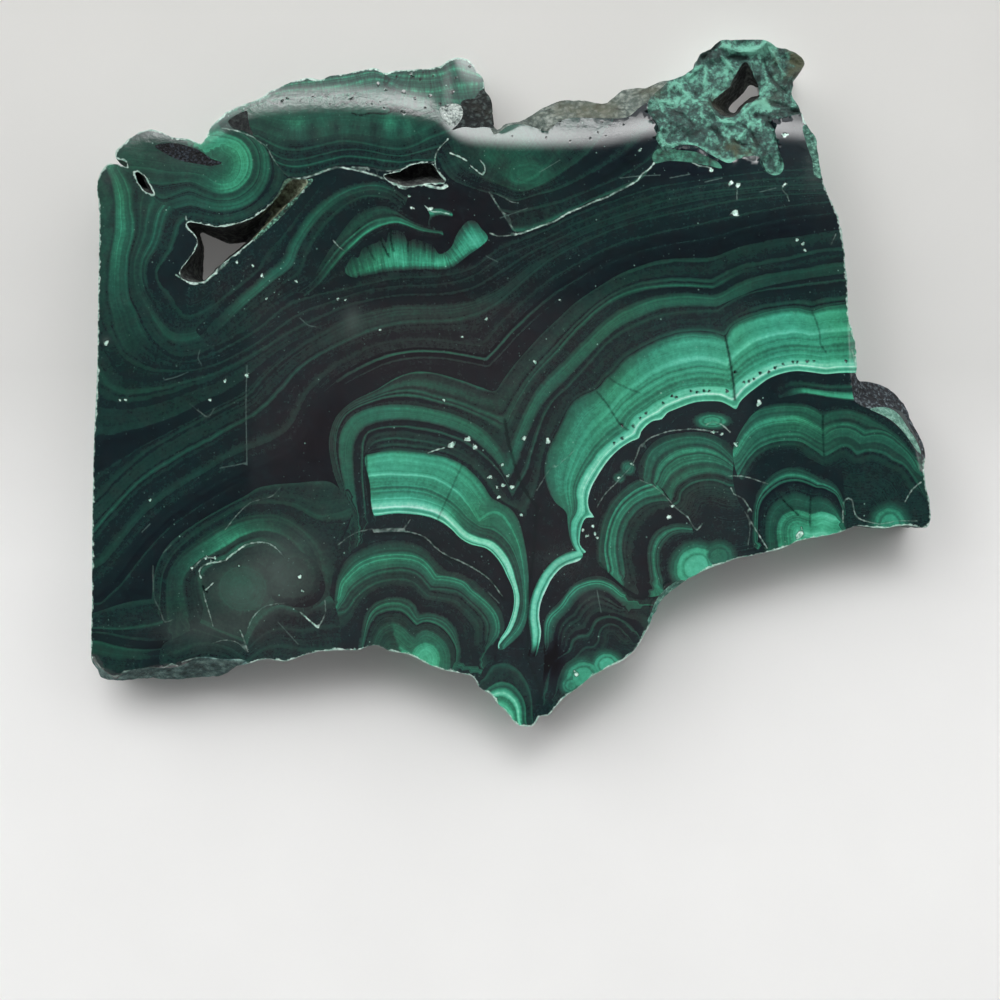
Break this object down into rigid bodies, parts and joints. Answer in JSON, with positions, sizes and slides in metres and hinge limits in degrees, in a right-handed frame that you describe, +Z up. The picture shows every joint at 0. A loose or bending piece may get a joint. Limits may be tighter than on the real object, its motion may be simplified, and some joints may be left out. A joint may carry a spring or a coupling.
{
  "type": "polished malachite slab",
  "caption": "Flat slice of banded green malachite with a polished face, natural rim, rough crust and through-gaps, for display or as a decorative stone.",
  "frame": {"origin": "middle of the flat back, at the bottom centre of the slab's box", "axes": "+X along the slab's length, towards the lobed end; +Y towards the natural edge and the crust; +Z up out of the polished face"},
  "size_m": [0.1262, 0.1046, 0.009],
  "materials": {
    "malachite": "polished banded stone, rough on the crust and the natural rim"
  },
  "bodies": {
    "root": {"malachite_slab": "malachite"}
  },
  "joints": []
}
